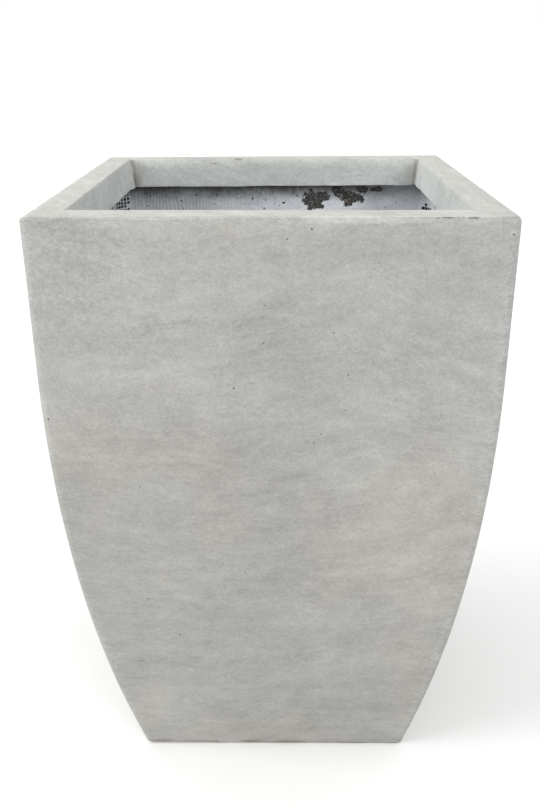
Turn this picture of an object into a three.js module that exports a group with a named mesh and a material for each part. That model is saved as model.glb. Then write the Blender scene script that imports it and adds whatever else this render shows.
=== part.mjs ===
// A tall square planter of glass-fibre reinforced cement, laid up by hand in a mould.
// Its walls drop straight from the rim and then sweep in along an arc to a narrower base.
// From outside to inside: a facing skin that rolls over the rim as a lip, a laminate sheet on
// each wall and on the floor, a mesh strip round each inner corner, and a core in the rim.
// Millimetres, +Z up. The origin is the centre of the base, on the ground.
import * as THREE from 'three';

// Driving dimensions
const height = 600;
const topWidth = 406;
const baseWidth = 287;
const straightDrop = 132; // from the rim down to where the walls begin to sweep in
const facing = 3; // thickness of the outer skin
const laminate = 5; // thickness of the sheets behind it
const gap = 0.3; // between layers that touch

const topEdgeRadius = 4;
const cornerRadius = 7.3; // of the upright outer corners

const rimWidth = 30;
const lipDepth = 32; // of the lip's inner face
const lipTopRadius = 3;
const lipFootRadius = 3.5;
const lipReturn = 6.5; // flat turned-under edge beyond the lip's round foot
const lipCornerRadius = 2; // of the mouth's upright corners

const footRadius = 2.5;
const footWidth = 22; // of the ring that stands on the ground
const footRecess = 6; // height of the underside above the ground
const drainRadius = 12.5;

const plugBodyRadius = drainRadius - gap;
const plugFlangeRadius = 19;
const plugFlangeHeight = 3;
const plugKnobRadius = 5;
const plugKnobHeight = 5;

const meshThickness = 1;
const filletRadius = 20; // of the mesh strips, where they bridge an inner corner
const filletLeg = 15; // part of a strip that lies flat on each wall
const netColumns = 7; // meshes across the bridge of a back strip
const netRows = 8; // in the band just under the rim
const netPitch = 4.4;
const netStrand = 1.5;
const clearMeshes = {
  // which of them the slurry left open: first and last column and row, from the lower edge
  back_left: { columns: [0, netColumns - 1], rows: [0, netRows - 1] },
  back_right: { columns: [3, netColumns - 1], rows: [2, 4] },
};

// Derived sizes
const topHalf = topWidth / 2;
const sweepTop = height - straightDrop;
const sweepDepth = (topWidth - baseWidth) / 2;
const sweepRadius = (sweepDepth ** 2 + sweepTop ** 2) / (2 * sweepDepth);
const mouthHalf = topHalf - rimWidth;
const floorSkinTop = footRecess + facing;
const floorTop = floorSkinTop + gap + laminate;
const coreBottom = height - lipDepth + facing + gap;
const wallTop = coreBottom - gap;
const wallBottom = floorTop + gap;
const sheetOuter = facing + gap; // how far the laminate's outer face lies inside the wall
const sheetInner = sheetOuter + laminate;
const stripOuter = sheetInner + gap;

// Mesh fineness
const cornerSegments = 3;
const edgeSegments = 4;
const smallEdgeSegments = 2;
const sweepSegments = 12;
const jointSlack = 1; // a level this near to a joint of the sweep takes its place
const plugSegments = 24;
const plainBridgeSegments = 5;
const quarter = Math.PI / 2;

// Half of the planter's outer width at a height: straight above, a circular arc below.
function wallHalf(z) {
  if (z >= sweepTop) return topHalf;
  return topHalf - sweepRadius + Math.sqrt(sweepRadius ** 2 - (sweepTop - z) ** 2);
}

// Heights from low to high, with a stop at every nth joint of the sweep's facets.
function wallLevels(low, high, every = 1) {
  const step = (every * sweepTop) / sweepSegments;
  const levels = [low];
  for (let z = step; z < high - jointSlack; z += step) {
    if (z > low + jointSlack && z <= sweepTop + jointSlack) levels.push(z);
  }
  levels.push(high);
  return levels;
}

// Points of a quarter circle, as offsets from its centre, from one angle to another.
function arc(radius, from, to, segments) {
  const points = [];
  for (let i = 0; i <= segments; i++) {
    const angle = from + ((to - from) * i) / segments;
    points.push([radius * Math.cos(angle), radius * Math.sin(angle)]);
  }
  return points;
}

// A level square with rounded corners, anticlockwise from above.
function squareLoop(half, radius, z) {
  const points = [];
  for (let side = 0; side < 4; side++) {
    const turn = side * quarter;
    for (const [x, y] of arc(radius, 0, quarter, cornerSegments)) {
      const point = new THREE.Vector3(half - radius + x, half - radius + y, z);
      points.push(point.applyAxisAngle(new THREE.Vector3(0, 0, 1), turn));
    }
  }
  return points;
}

// A level circle with as many points as a square loop, each facing its partner there.
function circleLoop(radius, z) {
  const count = 4 * (cornerSegments + 1);
  const points = [];
  for (let i = 0; i < count; i++) {
    const angle = ((i - cornerSegments / 2) * 2 * Math.PI) / count + quarter / 2;
    points.push(new THREE.Vector3(radius * Math.cos(angle), radius * Math.sin(angle), z));
  }
  return points;
}

function geometryOf(points, faces) {
  const geometry = new THREE.BufferGeometry().setFromPoints(points);
  geometry.setIndex(faces);
  geometry.computeVertexNormals();
  return geometry;
}

// Skins a row of loops. A closed row is a ring, whose last loop meets the first, and an
// open row is capped at both ends by a fan, so its loops are convex.
function loft(loops, closed) {
  const count = loops[0].length;
  const faces = [];
  const rows = closed ? loops.length : loops.length - 1;
  for (let row = 0; row < rows; row++) {
    const here = row * count;
    const above = ((row + 1) % loops.length) * count;
    for (let i = 0; i < count; i++) {
      const next = (i + 1) % count;
      faces.push(here + i, here + next, above + next);
      faces.push(here + i, above + next, above + i);
    }
  }
  if (!closed) {
    const last = (loops.length - 1) * count;
    for (let i = 1; i < count - 1; i++) {
      faces.push(0, i + 1, i);
      faces.push(last, last + i, last + i + 1);
    }
  }
  return geometryOf(loops.flat(), faces);
}

// The facing skin: one closed profile carried round the square. It runs out along the
// underside, up the wall, over the rim, down the lip, round its foot, and back inside.
function outerShell() {
  const loops = [];
  const bottomHalf = wallHalf(0);
  loops.push(circleLoop(drainRadius, footRecess));
  loops.push(squareLoop(bottomHalf - footWidth - facing, cornerRadius, footRecess));
  loops.push(squareLoop(bottomHalf - footWidth, cornerRadius, 0));
  for (const [x, y] of arc(footRadius, -quarter, 0, smallEdgeSegments)) {
    const z = footRadius + y;
    const inset = footRadius - x;
    loops.push(squareLoop(wallHalf(z) - inset, cornerRadius - inset, z));
  }
  for (const z of wallLevels(footRadius, height - topEdgeRadius).slice(1, -1)) {
    loops.push(squareLoop(wallHalf(z), cornerRadius, z));
  }
  for (const [x, y] of arc(topEdgeRadius, 0, quarter, edgeSegments)) {
    const inset = topEdgeRadius - x;
    const z = height - topEdgeRadius + y;
    loops.push(squareLoop(topHalf - inset, cornerRadius - inset, z));
  }
  for (const [x, y] of arc(lipTopRadius, quarter, 2 * quarter, edgeSegments)) {
    const inset = lipTopRadius + x;
    const z = height - lipTopRadius + y;
    loops.push(squareLoop(mouthHalf + inset, lipCornerRadius + inset, z));
  }
  const lipBottom = height - lipDepth;
  for (const [x, y] of arc(lipFootRadius, 2 * quarter, 3 * quarter, edgeSegments)) {
    const inset = lipFootRadius + x;
    const z = lipBottom + lipFootRadius + y;
    loops.push(squareLoop(mouthHalf + inset, lipCornerRadius + inset, z));
  }
  const returnEnd = lipFootRadius + lipReturn;
  loops.push(squareLoop(mouthHalf + returnEnd, lipCornerRadius + returnEnd, lipBottom));
  const skinBottom = lipBottom + facing;
  loops.push(squareLoop(mouthHalf + returnEnd, lipCornerRadius + returnEnd, skinBottom));
  for (const [x, y] of arc(lipFootRadius - facing, 3 * quarter, 2 * quarter, smallEdgeSegments)) {
    const inset = lipFootRadius + x;
    const z = lipBottom + lipFootRadius + y;
    loops.push(squareLoop(mouthHalf + inset, lipCornerRadius + inset, z));
  }
  loops.push(squareLoop(mouthHalf + facing, lipCornerRadius + facing, height - facing));
  loops.push(squareLoop(topHalf - facing, cornerRadius - facing, height - facing));
  for (const z of wallLevels(floorSkinTop, height - facing).slice(0, -1).reverse()) {
    loops.push(squareLoop(wallHalf(z) - facing, cornerRadius - facing, z));
  }
  loops.push(circleLoop(drainRadius, floorSkinTop));
  return loft(loops, true);
}

// One wall's sheet, on the front. Its ends are mitred on the corner's diagonal and cut back
// to fit the rounded inner corner of the skin.
function wallLaminate() {
  const cutBack = cornerRadius - facing;
  const mitre = gap / Math.SQRT2;
  const loops = wallLevels(wallBottom, wallTop).map((z) => {
    const outer = wallHalf(z) - sheetOuter;
    const inner = wallHalf(z) - sheetInner;
    const corner = outer - cutBack * (1 - Math.SQRT1_2);
    return [
      new THREE.Vector3(-(outer - cutBack), -outer, z),
      new THREE.Vector3(outer - cutBack, -outer, z),
      new THREE.Vector3(corner - mitre, -corner, z),
      new THREE.Vector3(inner - mitre, -inner, z),
      new THREE.Vector3(-(inner - mitre), -inner, z),
      new THREE.Vector3(-(corner - mitre), -corner, z),
    ];
  });
  return loft(loops, false);
}

function floorLaminate() {
  const low = floorSkinTop + gap;
  const radius = cornerRadius - facing;
  const loops = [
    circleLoop(drainRadius, low),
    squareLoop(wallHalf(low) - sheetOuter, radius, low),
    squareLoop(wallHalf(floorTop) - sheetOuter, radius, floorTop),
    circleLoop(drainRadius, floorTop),
  ];
  return loft(loops, true);
}

// One side's core, on the front: a bar with mitred ends whose lower inner edge is
// chamfered to sit in the lip's round foot.
function rimCore() {
  const outer = topHalf - facing - gap;
  const inner = mouthHalf + facing + gap;
  const top = height - facing - gap;
  const chamfer = lipFootRadius - facing;
  const cutBack = cornerRadius - facing;
  const corner = outer - cutBack * (1 - Math.SQRT1_2);
  const mitre = gap / Math.SQRT2;
  const section = [
    [corner, coreBottom],
    [outer, coreBottom],
    [outer, top],
    [corner, top],
    [inner, top],
    [inner, coreBottom + chamfer],
    [inner + chamfer, coreBottom],
  ];
  const reach = (depth) => (depth > corner ? outer - cutBack : depth - mitre);
  const loopAt = (side) =>
    section.map(([depth, z]) => new THREE.Vector3(side * reach(depth), -depth, z));
  return loft([loopAt(1), loopAt(-1)], false);
}

// Turns round a strip's bridge at which its section has a point: both sides of each strand
// of a net, or a few even steps where there is none.
function bridgeTurns(net) {
  const turns = [];
  if (!net) {
    for (let i = 0; i <= plainBridgeSegments; i++) turns.push((i * quarter) / plainBridgeSegments);
    return turns;
  }
  const strandTurn = netStrand / filletRadius;
  const step = (quarter - strandTurn) / netColumns;
  for (let i = 0; i <= netColumns; i++) turns.push(i * step, i * step + strandTurn);
  return turns;
}

// A strip's section at a depth inwards from its outer side: a leg along one wall, a
// quarter circle across the corner and a leg along the other wall.
function stripPath(depth, net) {
  const radius = filletRadius - depth;
  const legEnd = -filletRadius - filletLeg;
  const bridge = bridgeTurns(net).map((turn) => [
    radius * Math.sin(turn) - filletRadius,
    radius * Math.cos(turn) - filletRadius,
  ]);
  return [[legEnd, -depth], ...bridge, [-depth, legEnd]];
}

// A mesh strip in the back right corner. Its section at each level makes a grid of cells,
// and each cell is skinned on both sides, or left out and edged where its mesh is open.
function cornerMesh(net) {
  const netBottom = wallTop - netRows * netPitch - netStrand;
  const levels = wallLevels(wallBottom, net ? netBottom : wallTop, 2);
  const firstNetRow = levels.length;
  if (net) {
    for (let row = 0; row < netRows; row++) {
      levels.push(netBottom + row * netPitch + netStrand);
      levels.push(netBottom + (row + 1) * netPitch);
    }
    levels.push(wallTop);
  }
  const skins = [0, meshThickness].map((depth) =>
    levels.map((z) =>
      stripPath(depth, net).map(([x, y]) => {
        const reach = wallHalf(z) - stripOuter;
        return new THREE.Vector3(reach + x, reach + y, z);
      }),
    ),
  );
  const columns = skins[0][0].length;
  const index = (skin, row, column) => (skin * levels.length + row) * columns + column;
  const within = (value, [first, last]) => Number.isInteger(value) && value >= first && value <= last;
  const isOpen = (row, column) => {
    if (!net) return false;
    return within((row - firstNetRow) / 2, net.rows) && within(column / 2 - 1, net.columns);
  };
  const isSolid = (row, column) => {
    const inside = row >= 0 && row < levels.length - 1 && column >= 0 && column < columns - 1;
    return inside && !isOpen(row, column);
  };
  const faces = [];
  const quad = (a, b, c, d) => faces.push(a, b, c, a, c, d);
  for (let row = 0; row < levels.length - 1; row++) {
    for (let column = 0; column < columns - 1; column++) {
      if (!isSolid(row, column)) continue;
      const outer = [[0, 0], [1, 0], [1, 1], [0, 1]].map(([r, c]) => index(0, row + r, column + c));
      const inner = [[0, 0], [0, 1], [1, 1], [1, 0]].map(([r, c]) => index(1, row + r, column + c));
      quad(...outer);
      quad(...inner);
      const [low0, low1, high1, high0] = inner;
      const [out0, outHigh0, outHigh1, out1] = outer;
      if (!isSolid(row - 1, column)) quad(low1, low0, out0, out1);
      if (!isSolid(row + 1, column)) quad(high0, high1, outHigh1, outHigh0);
      if (!isSolid(row, column - 1)) quad(low0, high0, outHigh0, out0);
      if (!isSolid(row, column + 1)) quad(high1, low1, out1, outHigh1);
    }
  }
  return geometryOf(skins.flat(2), faces);
}

// The rubber bung: a tapered body in the drain hole, a flange on the floor and a knob.
function drainPlug() {
  const flangeBottom = floorTop + gap;
  const flangeTop = flangeBottom + plugFlangeHeight;
  const bodyBottom = footRecess + gap;
  const taper = 0.8;
  const bevel = 1;
  const profile = [
    [0, bodyBottom],
    [plugBodyRadius - taper - bevel, bodyBottom],
    [plugBodyRadius - taper, bodyBottom + bevel],
    [plugBodyRadius, flangeBottom],
    [plugFlangeRadius, flangeBottom],
    [plugFlangeRadius, flangeTop - bevel],
    [plugFlangeRadius - bevel, flangeTop],
    [plugKnobRadius, flangeTop],
    [plugKnobRadius - bevel, flangeTop + bevel],
    [plugKnobRadius, flangeTop + plugKnobHeight - bevel],
    [plugKnobRadius - bevel, flangeTop + plugKnobHeight],
    [0, flangeTop + plugKnobHeight],
  ];
  const points = profile.map(([radius, z]) => new THREE.Vector2(radius, z));
  return new THREE.LatheGeometry(points, plugSegments).rotateX(quarter);
}

const finish = {
  facing: { color: 0xa9a9a3, roughness: 0.85, metalness: 0 },
  laminate: { color: 0x9a9fa3, roughness: 0.9, metalness: 0 },
  mesh: { color: 0xb4b6b4, roughness: 0.8, metalness: 0 },
  core: { color: 0x8f8d88, roughness: 0.95, metalness: 0 },
  rubber: { color: 0x1c1c1c, roughness: 0.7, metalness: 0 },
};

const planter = new THREE.Group();

function add(name, geometry, look, turns = 0) {
  const mesh = new THREE.Mesh(geometry, new THREE.MeshStandardMaterial(look));
  mesh.name = name;
  mesh.rotation.z = turns * quarter;
  planter.add(mesh);
}

add('outer_shell', outerShell(), finish.facing);
add('floor_laminate', floorLaminate(), finish.laminate);
['front', 'right', 'back', 'left'].forEach((side, turns) => {
  add(`${side}_wall_laminate`, wallLaminate(), finish.laminate, turns);
  add(`rim_core_${side}`, rimCore(), finish.core, turns);
});
['back_right', 'back_left', 'front_left', 'front_right'].forEach((corner, turns) => {
  add(`${corner}_corner_mesh`, cornerMesh(clearMeshes[corner]), finish.mesh, turns);
});
add('drain_plug', drainPlug(), finish.rubber);

export default planter;
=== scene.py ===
# A tall square planter of glass-fibre cement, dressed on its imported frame. Metres, +Z up.
import math

import bpy
import numpy as np
from mathutils import Matrix, Vector


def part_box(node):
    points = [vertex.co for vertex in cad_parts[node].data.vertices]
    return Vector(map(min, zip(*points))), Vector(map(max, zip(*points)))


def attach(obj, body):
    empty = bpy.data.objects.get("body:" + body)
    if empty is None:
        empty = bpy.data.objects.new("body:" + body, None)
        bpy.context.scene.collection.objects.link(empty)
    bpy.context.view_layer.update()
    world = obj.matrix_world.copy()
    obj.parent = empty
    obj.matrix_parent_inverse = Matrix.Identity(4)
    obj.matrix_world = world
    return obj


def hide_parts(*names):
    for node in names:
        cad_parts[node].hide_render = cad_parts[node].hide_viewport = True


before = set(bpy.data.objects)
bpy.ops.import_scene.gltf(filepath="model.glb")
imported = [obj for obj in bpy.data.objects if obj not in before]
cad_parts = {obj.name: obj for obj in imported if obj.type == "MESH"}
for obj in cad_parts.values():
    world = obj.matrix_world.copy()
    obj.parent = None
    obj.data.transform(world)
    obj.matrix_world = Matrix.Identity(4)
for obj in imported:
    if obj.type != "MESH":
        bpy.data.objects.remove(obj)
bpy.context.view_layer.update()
print("frame loaded")

mm = 0.001
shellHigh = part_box("outer_shell")[1]

form = {
    "height": shellHigh.z,
    "topHalf": shellHigh.x,
    "baseHalf": 143.5 * mm,
    "straightDrop": 132 * mm,  # from the rim down to where the walls begin to sweep in
    "facing": 3 * mm,
    "laminate": 5 * mm,
    "gap": 0.3 * mm,  # between layers that touch
    "cornerRadius": 7.3 * mm,
    "rimWidth": 30 * mm,
    "lipDepth": 32 * mm,
    "lipReturn": 10 * mm,  # from the lip's face to the end of its turned-under edge
    "footRadius": 2.5 * mm,
    "footWidth": 22 * mm,
    "footRecess": 6 * mm,
    "drainRadius": 12.5 * mm,
}

topHalf = form["topHalf"]
height = form["height"]
mouthHalf = topHalf - form["rimWidth"]
lipBottom = height - form["lipDepth"]
sweepTop = height - form["straightDrop"]
sweepDepth = topHalf - form["baseHalf"]
sweepRadius = (sweepDepth**2 + sweepTop**2) / (2 * sweepDepth)
sheetOuter = form["facing"] + form["gap"]
sheetInner = sheetOuter + form["laminate"]
stripOuter = sheetInner + form["gap"]
floorSkinTop = form["footRecess"] + form["facing"]
floorTop = floorSkinTop + form["gap"] + form["laminate"]
wallBottom = floorTop + form["gap"]
wallTop = lipBottom + form["facing"]


# Half of the outer width at a height: straight above, one circular arc below.
def wallHalf(z):
    drop = np.maximum(sweepTop - z, 0)
    return topHalf - sweepRadius + np.sqrt(sweepRadius**2 - drop**2)


# Smooth random relief of about -2 to 2: a sum of cosine waves in random directions.
def ripple(points, wavelength, seed, waves=30):
    rng = np.random.default_rng(seed)
    ways = rng.normal(size=(waves, 3))
    ways *= (2 * np.pi * rng.uniform(0.6, 1.5, waves) / wavelength / np.linalg.norm(ways, axis=1))[:, None]
    shifts = rng.uniform(0, 2 * np.pi, waves)
    total = np.zeros(points.shape[:-1])
    for way, shift in zip(ways, shifts):
        total += np.cos(points @ way + shift)
    return total * math.sqrt(2 / waves)


# 0 to 1 between two limits, with an even start and end.
def ease(value, low, high):
    t = np.clip((value - low) / (high - low), 0, 1)
    return t * t * (3 - 2 * t)


# Points turned about the planter's axis by quarter turns.
def turned(points, quarters):
    c, s = [(1, 0), (0, 1), (-1, 0), (0, -1)][quarters % 4]
    x, y, z = points[..., 0], points[..., 1], points[..., 2]
    return np.stack([c * x - s * y, s * x + c * y, z], -1)


# Puts points and faces (arrays with one face a row) into an object, with the faces of a
# closed surface turned outwards: its volume, a sum of tetrahedra, has to be positive.
def solid(name, points, faces, attributes=None, sharp=50):
    used, corners = np.unique(np.concatenate([f.ravel() for f in faces]), return_inverse=True)
    sizes = np.concatenate([np.full(len(f), f.shape[1]) for f in faces])
    volume = 0
    for f in faces:
        for i in range(1, f.shape[1] - 1):
            a, b, c = points[f[:, 0]], points[f[:, i]], points[f[:, i + 1]]
            volume += np.einsum("ij,ij->i", a, np.cross(b, c)).sum()
    starts = np.cumsum(sizes) - sizes
    if volume < 0:
        last = np.repeat(starts + sizes - 1, sizes)
        first = np.repeat(starts, sizes)
        corners = corners[first + last - np.arange(len(corners))]
    mesh = bpy.data.meshes.new(name)
    mesh.vertices.add(len(used))
    mesh.vertices.foreach_set("co", points[used].astype(np.float32).ravel())
    mesh.loops.add(len(corners))
    mesh.loops.foreach_set("vertex_index", corners.astype(np.int32))
    mesh.polygons.add(len(sizes))
    mesh.polygons.foreach_set("loop_start", starts.astype(np.int32))
    mesh.polygons.foreach_set("loop_total", sizes.astype(np.int32))
    mesh.polygons.foreach_set("use_smooth", np.ones(len(sizes), bool))
    for key, values in (attributes or {}).items():
        layer = mesh.attributes.new(key, "FLOAT", "POINT")
        layer.data.foreach_set("value", values.ravel()[used].astype(np.float32))
    mesh.update(calc_edges=True)
    mesh.set_sharp_from_angle(angle=math.radians(sharp))
    made = bpy.data.objects.new(name, mesh)
    bpy.context.scene.collection.objects.link(made)
    return made


# A surface closed both ways, such as a profile carried round a square: points[row, column].
def ringSolid(name, points, attributes=None):
    rows, columns = points.shape[:2]
    index = np.arange(rows * columns).reshape(rows, columns)
    east, north = np.roll(index, -1, 1), np.roll(index, -1, 0)
    quads = np.stack([index, east, np.roll(north, -1, 1), north], -1).reshape(-1, 4)
    return solid(name, points.reshape(-1, 3), [quads], attributes)


# A sheet between an outer and an inner grid of points; a cell that isn't kept is a hole.
def sheetSolid(name, outer, inner, keep=None, attributes=None):
    rows, columns = outer.shape[:2]
    count = rows * columns
    index = np.arange(count).reshape(rows, columns)
    if keep is None:
        keep = np.ones((rows - 1, columns - 1), bool)
    ring = [index[:-1, :-1], index[:-1, 1:], index[1:, 1:], index[1:, :-1]]
    padded = np.pad(keep, 1)
    neighbours = [padded[:-2, 1:-1], padded[1:-1, 2:], padded[2:, 1:-1], padded[1:-1, :-2]]
    faces = [np.stack([c[keep] for c in ring], 1), np.stack([c[keep] + count for c in ring[::-1]], 1)]
    for i, beyond in enumerate(neighbours):
        bare = keep & ~beyond
        p, q = ring[i][bare], ring[(i + 1) % 4][bare]
        faces.append(np.stack([q, p, p + count, q + count], 1))
    points = np.concatenate([outer.reshape(-1, 3), inner.reshape(-1, 3)])
    both = {k: np.concatenate([v.ravel(), v.ravel()]) for k, v in (attributes or {}).items()}
    return solid(name, points, faces, both)


# Oval strands along paths[strand, step]: each section is spanned by the given normal and by
# the tangent's cross product with it.
def strands(paths, normals, thick, wide, sides=6):
    count, steps = paths.shape[:2]
    along = np.gradient(paths, axis=1)
    across = np.cross(along, normals)
    across /= np.linalg.norm(across, axis=-1, keepdims=True)
    turn = np.linspace(0, 2 * np.pi, sides, endpoint=False)
    rings = (
        paths[:, :, None]
        + (thick[..., None] * np.cos(turn))[..., None] * normals[:, :, None]
        + (wide[..., None] * np.sin(turn))[..., None] * across[:, :, None]
    )
    index = np.arange(count * steps * sides).reshape(count, steps, sides)
    east = np.roll(index, -1, 2)
    quads = np.stack([index[:, :-1], east[:, :-1], east[:, 1:], index[:, 1:]], -1).reshape(-1, 4)
    caps = np.concatenate([index[:, 0, ::-1], index[:, -1]])
    return rings.reshape(-1, 3), [quads, caps]


# One turn round a square, from the right side by way of the back. For each point: how near
# it is to each corner (from the back right one), its share in each side, and its outward
# normal. A point is the weighted mean of the corners' centres plus radius times normal.
def squareRing(flatSteps, cornerSteps):
    t = np.linspace(0, 1, flatSteps + 1)[1:-1]
    bend = np.linspace(0, np.pi / 2, cornerSteps + 1)
    after = np.concatenate([t, np.ones(len(bend))])
    turn = np.concatenate([0 * t, bend])
    nearness, sides, normals = [], [], []
    for side in range(4):
        near, share = np.zeros((2, len(after), 4))
        near[:, side], near[:, side - 1] = after, 1 - after
        share[:, side], share[:, (side + 1) % 4] = np.cos(turn) ** 2, np.sin(turn) ** 2
        angle = turn + side * np.pi / 2
        nearness.append(near)
        sides.append(share)
        normals.append(np.stack([np.cos(angle), np.sin(angle)], 1))
    return np.concatenate(nearness), np.concatenate(sides), np.concatenate(normals)


# Points of such a ring for rows of half widths by side, corner radii and heights by side.
def ringPoints(half, radius, z, ring):
    nearness, sides, normals = ring
    signs = np.array([[1, -1, -1, 1], [1, 1, -1, -1]])
    centres = [signs[i] * (half[:, order] - radius) for i, order in enumerate([[0, 2, 2, 0], [1, 1, 3, 3]])]
    flat = [centres[i] @ nearness.T + (radius @ nearness.T) * normals[:, i] for i in range(2)]
    return np.stack([*flat, z @ sides.T], -1)


class Wire:  # one shader value; arithmetic on it adds Math nodes
    def __init__(self, shade, socket):
        self.shade = shade
        self.socket = socket

    def maths(self, operation, *others):
        values = dict(enumerate((self, *others)))
        return self.shade.node("ShaderNodeMath", {"operation": operation}, values)

    def __add__(self, other):
        return self.maths("ADD", other)

    def __mul__(self, other):
        return self.maths("MULTIPLY", other)

    def __sub__(self, other):
        return self.maths("SUBTRACT", other)

    def __rsub__(self, other):
        return self.shade.node("ShaderNodeMath", {"operation": "SUBTRACT"}, {0: other, 1: self})

    def __abs__(self):
        return self.maths("ABSOLUTE")

    def __gt__(self, limit):
        return self.maths("GREATER_THAN", limit)

    __radd__ = __add__
    __rmul__ = __mul__

    def most(self, other):
        return self.maths("MAXIMUM", other)

    def ease(self, low, high):  # 0 at low, 1 at high
        values = {"Value": self, "From Min": low, "From Max": high}
        return self.shade.node("ShaderNodeMapRange", {"interpolation_type": "SMOOTHSTEP"}, values)

    def vector(self, operation, other, out=0):
        return self.shade.node("ShaderNodeVectorMath", {"operation": operation}, {0: self, 1: other}, out)

    def parts(self):
        split = self.shade.node("ShaderNodeSeparateXYZ", {}, {0: self})
        outputs = split.socket.node.outputs
        return [Wire(self.shade, outputs[i]) for i in range(3)]


class Shade:  # the nodes of a material or of the world
    def __init__(self, name, owner=None):
        self.material = owner or bpy.data.materials.new(name)
        self.material.use_nodes = True
        self.tree = self.material.node_tree
        self.tree.nodes.clear()
        self.point = self.node("ShaderNodeTexCoord", {}, {}, "Object")

    def node(self, kind, settings=None, values=None, out=0):
        made = self.tree.nodes.new(kind)
        for key, value in (settings or {}).items():
            setattr(made, key, value)
        for key, value in (values or {}).items():
            if isinstance(value, Wire):
                self.tree.links.new(value.socket, made.inputs[key])
            else:
                made.inputs[key].default_value = value
        return Wire(self, made.outputs[out]) if made.outputs else None

    def attribute(self, name):
        return self.node("ShaderNodeAttribute", {"attribute_name": name}, {}, "Fac")

    def join(self, x, y, z):
        return self.node("ShaderNodeCombineXYZ", {}, {0: x, 1: y, 2: z})

    def noise(self, vector, scale, detail=2.0, roughness=0.5, out=0):
        values = {"Vector": vector, "Scale": scale, "Detail": detail, "Roughness": roughness}
        return self.node("ShaderNodeTexNoise", {}, values, out)

    def cells(self, vector, scale, out="Distance"):
        return self.node("ShaderNodeTexVoronoi", {}, {"Vector": vector, "Scale": scale}, out)

    def blend(self, factor, first, second):  # of two colours
        values = {0: factor, 6: first, 7: second}
        return self.node("ShaderNodeMix", {"data_type": "RGBA"}, values, 2)

    def scaled(self, colour, factor):
        return self.node("ShaderNodeVectorMath", {"operation": "SCALE"}, {0: colour, "Scale": factor})

    def finish(self, colour, roughness, relief, depth):
        bump = self.node("ShaderNodeBump", {}, {"Height": relief, "Distance": depth, "Strength": 1.0})
        values = {"Base Color": colour, "Roughness": roughness, "Normal": bump}
        surface = self.node("ShaderNodeBsdfPrincipled", {}, values)
        self.node("ShaderNodeOutputMaterial", {}, {"Surface": surface})
        return self.material


# sRGB levels of 0 to 255 as a linear colour
def tone(red, green, blue):
    levels = [v / 255 for v in (red, green, blue)]
    return [v / 12.92 if v <= 0.04045 else ((v + 0.055) / 1.055) ** 2.4 for v in levels] + [1.0]


# The finish of the facing: cloudy brushed cement with pinholes.
cement = {
    "cool": tone(179, 180, 177),
    "warm": tone(182, 179, 173),
    "rim": tone(192, 192, 187),
    "lip": tone(188, 190, 187),
    "stain": tone(118, 104, 86),
    # grime: the colour of grime marks, and of painted shade in the back lip's corners and along the mouth's
    # creases
    "grimeAndShade": tone(104, 100, 95),
    "pit": tone(70, 68, 64),
    "crust": tone(214, 215, 212),
    "cloudContrast": 0.85,
    "strokeContrast": 0.37,
    "grainContrast": 0.42,
    "mottleContrast": 0.075,
    "brushContrast": 0.42,  # of the strokes on the rim's top
    "leftRimLift": 0.05,
    "frontEdgePaintedShade": 0.25,  # painted shade where the front's top edge rolls over, on the left
    # painted light over the whole back lip, and painted shade along its rounded top
    "backLipPaintedLight": 0.04,
    "backLipPaintedTopShade": 0.10,
    "scuffed": 0.42,
    "worn": 0.45,  # the pale band under the front's top edge
    # grime with painted shade in the back lip's corners
    "cornerGrimeAndShade": 0.12,
    "lowGrimeAndShade": 0.66,  # grime together with painted shade, more of it at the foot of the lip
    # painted shade along the mouth's upright inner corners
    "creasePaintedShade": 0.45,
    "footStain": 0.75,
    "pitted": 0.85,
    "reliefDepth": 0.5 * mm,
    # broad clouds: across, up, half sizes in millimetres and strength
    "washes": [
        (8, 440, 90, 130, -0.08), (-105, 80, 60, 110, 0.13), (-185, 335, 45, 60, -0.10),
        (-130, 480, 110, 150, 0.06), (115, 320, 110, 170, 0.06),
    ],
    # marks: middle, half length and half height in millimetres, strength and tone
    "marks": [
        (-42.5, 175, 599, 5, 1.4, 0.65, "stain"), (72, 172.5, 570, 12, 1.6, 0.6, "crust"),
        (94, 172, 590, 8, 0.8, 0.5, "crust"), (90, 172, 585, 6, 0.7, 0.4, "grimeAndShade"),
        (104, 172, 580, 4, 0.6, 0.4, "grimeAndShade"),
        (-72.5, 172.5, 594.5, 4.5, 0.8, 0.5, "grimeAndShade"), (-72.5, 172.5, 597, 4.5, 0.8, 0.45, "crust"),
        (142.5, -202, 598.6, 5.5, 0.7, 0.5, "pit"), (162, -202, 598.2, 6, 0.9, 0.55, "pit"),
        (134, -202, 598, 3, 0.6, 0.35, "pit"),
    ],
    # pinholes on the front: across, up and radius in millimetres
    "pinholes": [
        (34, 590, 1.3), (14, 582, 1.0), (40, 575, 0.9), (-6, 494, 0.9), (-32, 453, 1.1), (65, 432, 0.8),
        (44, 409, 0.8), (38, 400, 1.1), (-124, 175, 1.0), (-94, 176, 1.2), (-136, 138, 1.2), (-10, 45, 1.0),
        (-122, 225, 1.0), (-4, 527, 0.7), (29, 345, 0.8), (196, 585, 1.0), (-196, 424, 1.0), (-180, 201, 1.0),
    ],
}


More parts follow.
